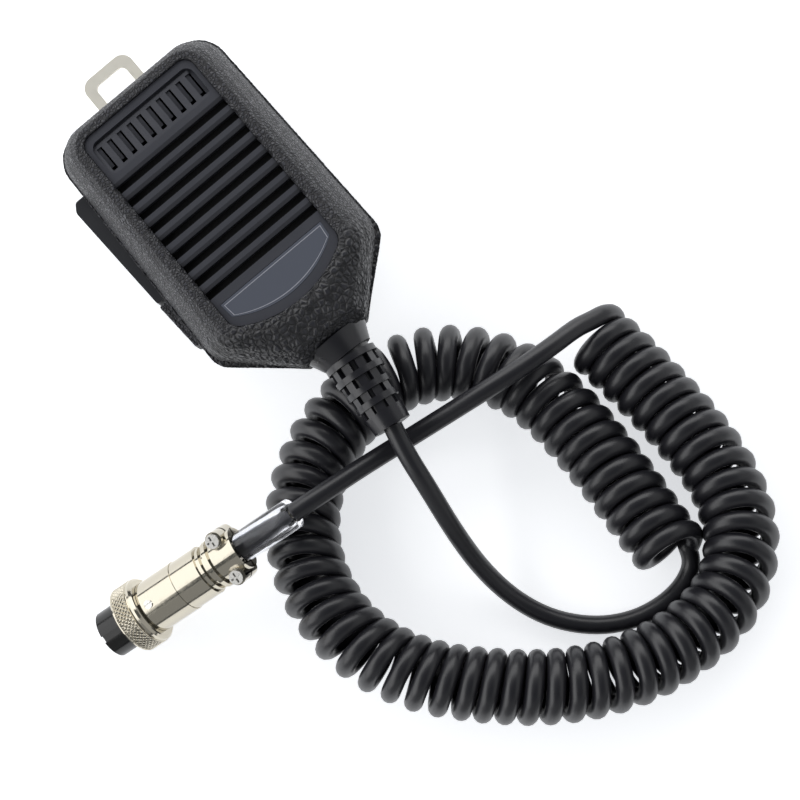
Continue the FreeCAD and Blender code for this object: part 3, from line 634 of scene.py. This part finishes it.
def knurl_dip(station, angle):
    """Two crossing families of grooves leave diamond points."""
    along = (station - KNURL_FROM) / (math.tau * NUT_R) * KNURL_COUNT
    turn = angle / math.tau * KNURL_COUNT
    first = abs((turn + along) % 1.0 - 0.5) * 2
    second = abs((turn - along) % 1.0 - 0.5) * 2
    ends = min(station - KNURL_FROM, KNURL_TO - station)
    groove = max(first, second) ** KNURL_SHARPNESS
    return KNURL_DEPTH * groove * smooth_step(0.0, KNURL_FADE, ends) + KNURL_LEAST


SLEEVE_FROM, SLEEVE_TO, SLEEVE_R, SLEEVE_BORE = 29.0, 62.3, 4.2, 2.62
SLEEVE_LEAD, SLEEVE_SIDES = 0.3, 64


def soft_sleeve():
    """The clear sleeve: thick, softly rounded at its end, and a close fit on the cord."""
    end = [(1.0, 0.0), (0.3, 0.1), (0.05, 0.45)]
    outside = [(SLEEVE_FROM, SLEEVE_R, False)] + [(SLEEVE_TO - s, SLEEVE_R - r, False) for s, r in end]
    inside = [(SLEEVE_TO, SLEEVE_BORE + SLEEVE_LEAD, False), (SLEEVE_TO - SLEEVE_LEAD, SLEEVE_BORE, False),
              (SLEEVE_FROM, SLEEVE_BORE, False)]
    piece = lathe("clear_sleeve_soft", outside + inside, SLEEVE_SIDES)
    for polygon in piece.data.polygons:
        polygon.use_smooth = True
    paint(piece, "sleeve")
    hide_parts("clear_sleeve")
    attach(piece, "handset")
    return piece


# ---------------------------------------------------------------- the label's border line
LABEL_HALF, LABEL_TOP, LABEL_SIDE, LABEL_LOW, LABEL_FACE = 16.6, 24.9, 20.6, 15.5, 13.55
LABEL_CORNER = 0.4                           # the arc ends this far inside the straight sides
LINE_INSET, LINE_WIDTH, LINE_HEIGHT, LINE_SUNK = 0.75, 0.22, 0.03, 0.05
ARC_STEPS = 24


def label_loop(shrink, height):
    """The label's outline drawn in by shrink: straight top and sides, and one arc below."""
    half, low = LABEL_HALF - shrink, LABEL_LOW + shrink
    chord, sag = half - LABEL_CORNER, LABEL_SIDE - low
    radius = (chord * chord + sag * sag) / (2 * sag)
    reach = math.asin(chord / radius)
    loop = [Vector((-half, LABEL_TOP - shrink, height)), Vector((half, LABEL_TOP - shrink, height))]
    for k in range(ARC_STEPS + 1):
        angle = reach * (1 - 2 * k / ARC_STEPS)
        loop.append(Vector((radius * math.sin(angle), low + radius * (1 - math.cos(angle)), height)))
    return [HANDSET @ point for point in loop]


def label_line():
    """A thin printed line round the label, inside its edge."""
    outer, inner = LINE_INSET, LINE_INSET + LINE_WIDTH
    base, top = LABEL_FACE - LINE_SUNK, LABEL_FACE + LINE_HEIGHT
    loops = [label_loop(outer, base), label_loop(outer, top),
             label_loop(inner, top), label_loop(inner, base)]
    piece = ring_piece("label_border", loops)
    piece.data.materials.append(fine_plastic("border_ink", (0.36, 0.37, 0.42), 0.4, 0.5))
    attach(piece, "handset")


# ---------------------------------------------------------------- setting, lights and camera
FLOOR_HALF, FLOOR_DROP = 2.5, 0.0002         # metres
FLOOR_GLOW = 0.68
LIGHT_DISTANCE, LIGHT_HEIGHT = 1.1, 0.62
LIGHT_SIZE = (2.0, 1.0)
LIGHTS = [("back", 100, 12.0), ("left", 190, 11.0), ("front", 275, 1.4), ("right", 10, 2.4)]
MIDDLE = Vector((0.0, -0.06, 0.02))          # of the object, where the lights point
WORLD_COLOR, WORLD_STRENGTH = (0.9, 0.95, 1.0, 1.0), 0.12
CAMERA_AT = Vector((4.25, -57.56, 620.0))
CAMERA_TURN = math.radians(-40)
LENS, SENSOR = 103.572, 36.0


def make_floor():
    mesh = bpy.data.meshes.new("floor")
    corners = [(-FLOOR_HALF, -FLOOR_HALF, 0), (FLOOR_HALF, -FLOOR_HALF, 0),
               (FLOOR_HALF, FLOOR_HALF, 0), (-FLOOR_HALF, FLOOR_HALF, 0)]
    mesh.from_pydata(corners, [], [(0, 1, 2, 3)])
    floor = link(bpy.data.objects.new("floor", mesh))
    floor.location.z = -FLOOR_DROP
    mat = material("floor_white", (0.95, 0.95, 0.95), 0.9, Emission_Color=(0.95, 0.97, 1.0, 1.0),
                   Emission_Strength=FLOOR_GLOW)
    floor.data.materials.append(mat)


def area_light(name, place, power):
    light = bpy.data.lights.new(name, "AREA")
    light.shape = "RECTANGLE"
    light.size, light.size_y = LIGHT_SIZE
    light.energy = power
    obj = link(bpy.data.objects.new(name, light))
    obj.location = place
    obj.rotation_euler = (MIDDLE - place).to_track_quat("-Z", "Y").to_euler()


def make_world():
    world = bpy.data.worlds.new("studio")
    world.use_nodes = True
    background = world.node_tree.nodes["Background"]
    background.inputs["Color"].default_value = WORLD_COLOR
    background.inputs["Strength"].default_value = WORLD_STRENGTH
    bpy.context.scene.world = world


def make_lights():
    """Large lights low on all sides and little from overhead, so blacks stay deep."""
    for name, bearing, power in LIGHTS:
        turn = math.radians(bearing) + CAMERA_TURN
        away = LIGHT_DISTANCE * Vector((math.cos(turn), math.sin(turn), 0))
        area_light(name, Vector((MIDDLE.x, MIDDLE.y, LIGHT_HEIGHT)) + away, power)
    make_world()


def make_camera():
    """Straight overhead, turned so that the handset lies to the upper left."""
    camera = bpy.data.cameras.new("camera")
    camera.sensor_width = SENSOR
    camera.lens = LENS
    camera.clip_start = 0.01
    obj = link(bpy.data.objects.new("camera", camera))
    obj.location = CAMERA_AT * MM
    obj.rotation_euler = (0, 0, CAMERA_TURN)
    bpy.context.scene.camera = obj
    bpy.context.scene.view_settings.view_transform = "Standard"


make_camera()
paint_nodes()
make_cord(knurl_nut(), soft_sleeve())
make_case()
label_line()
round_cad_edges()
make_floor()
make_lights()
